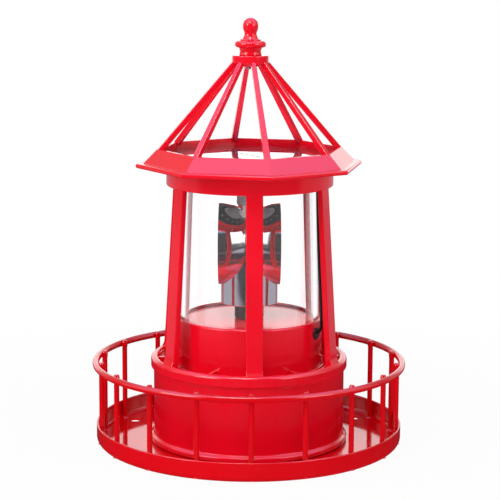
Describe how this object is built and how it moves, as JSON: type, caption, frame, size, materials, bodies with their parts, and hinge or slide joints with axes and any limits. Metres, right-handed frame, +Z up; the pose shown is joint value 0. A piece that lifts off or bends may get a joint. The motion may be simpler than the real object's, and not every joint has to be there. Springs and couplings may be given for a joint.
{
  "type": "solar garden lighthouse",
  "caption": "Solar garden lighthouse light with a railed round base, a clear lantern over a turning two-faced reflector, and an open ribbed roof above a solar panel.",
  "frame": {"origin": "centre of the tray's underside, on the lighthouse's axis, at ground height", "axes": "+Z up along the lighthouse's axis, -Y towards the front of the picture"},
  "size_m": [0.1924, 0.1924, 0.2598],
  "materials": {
    "red_enamel": "gloss",
    "red_plastic": "gloss",
    "clear_lens": "clear",
    "chrome": "mirror",
    "hub_black": "satin",
    "black_plastic": "satin",
    "lamp_grey": "satin",
    "lamp_white": "satin",
    "lamp_clear": "clear",
    "screw_steel": "satin",
    "bushing_brass": "satin",
    "gear_nylon": "satin",
    "gearbox_grey": "satin",
    "motor_steel": "satin",
    "circuit_green": "gloss",
    "cell_wrap": "gloss",
    "cable_black": "satin",
    "solar_backing": "gloss",
    "solar_cell": "gloss"
  },
  "bodies": {
    "root": {"deck_tray": "red_enamel", "gallery_rail": "red_enamel", "baluster_01": "red_enamel", "baluster_02": "red_enamel", "baluster_03": "red_enamel", "baluster_04": "red_enamel", "baluster_05": "red_enamel", "baluster_06": "red_enamel", "baluster_07": "red_enamel", "baluster_08": "red_enamel", "baluster_09": "red_enamel", "baluster_10": "red_enamel", "baluster_11": "red_enamel", "baluster_12": "red_enamel", "baluster_13": "red_enamel", "baluster_14": "red_enamel", "baluster_15": "red_enamel", "baluster_16": "red_enamel", "baluster_17": "red_enamel", "baluster_18": "red_enamel", "drum_housing": "red_plastic", "light_base": "red_plastic", "lantern_frame": "red_plastic", "roof_cage": "red_plastic", "finial": "red_plastic", "ceiling_plate": "red_plastic", "lens_cylinder": "clear_lens", "base_plate": "black_plastic", "battery_cover": "black_plastic", "switch_body": "black_plastic", "lamp_holder": "lamp_grey", "lamp_sleeve": "lamp_white", "lamp": "lamp_clear", "base_screws": "screw_steel", "deck_screws": "screw_steel", "small_screws": "screw_steel", "gearbox_screws": "screw_steel", "roof_screws": "screw_steel", "finial_screw": "screw_steel", "battery_cover_screw": "screw_steel", "battery_contacts": "screw_steel", "spindle_bushing": "bushing_brass", "gearbox_base": "gearbox_grey", "gearbox_cover": "gearbox_grey", "motor_can": "motor_steel", "control_board": "circuit_green", "lamp_board": "circuit_green", "battery_cell": "cell_wrap", "panel_cable": "cable_black", "cable_grommet": "cable_black", "solar_panel": "solar_backing", "solar_cells": "solar_cell"},
    "reflector": {"reflector_upper": "chrome", "reflector_lower": "chrome", "spindle_hub": "hub_black", "output_shaft": "screw_steel", "output_gear": "gear_nylon"},
    "idler": {"idler_gear": "gear_nylon"},
    "motor_rotor": {"motor_pinion": "gear_nylon"},
    "switch_slider": {"switch_knob": "black_plastic"}
  },
  "joints": [
    {"name": "reflector_spin", "type": "hinge", "parent": "root", "child": "reflector", "pos_m": [0, 0, 0.1233], "axis": [0, 0, 1], "continuous": true},
    {"name": "idler_spin", "type": "hinge", "parent": "root", "child": "idler", "pos_m": [0.00855, 0.01481, 0.06], "axis": [0, 0, 1], "continuous": true},
    {"name": "motor_spin", "type": "hinge", "parent": "root", "child": "motor_rotor", "pos_m": [-0.00705, 0.01481, 0.06], "axis": [0, 0, 1], "continuous": true},
    {"name": "switch_slide", "type": "slide", "parent": "root", "child": "switch_slider", "axis": [1, 0, 0], "range_m": [0, 0.003]}
  ],
  "couplings": [
    {"joint": "idler_spin", "follows": "reflector_spin", "ratio": -3.75},
    {"joint": "motor_spin", "follows": "reflector_spin", "ratio": 12.5}
  ]
}
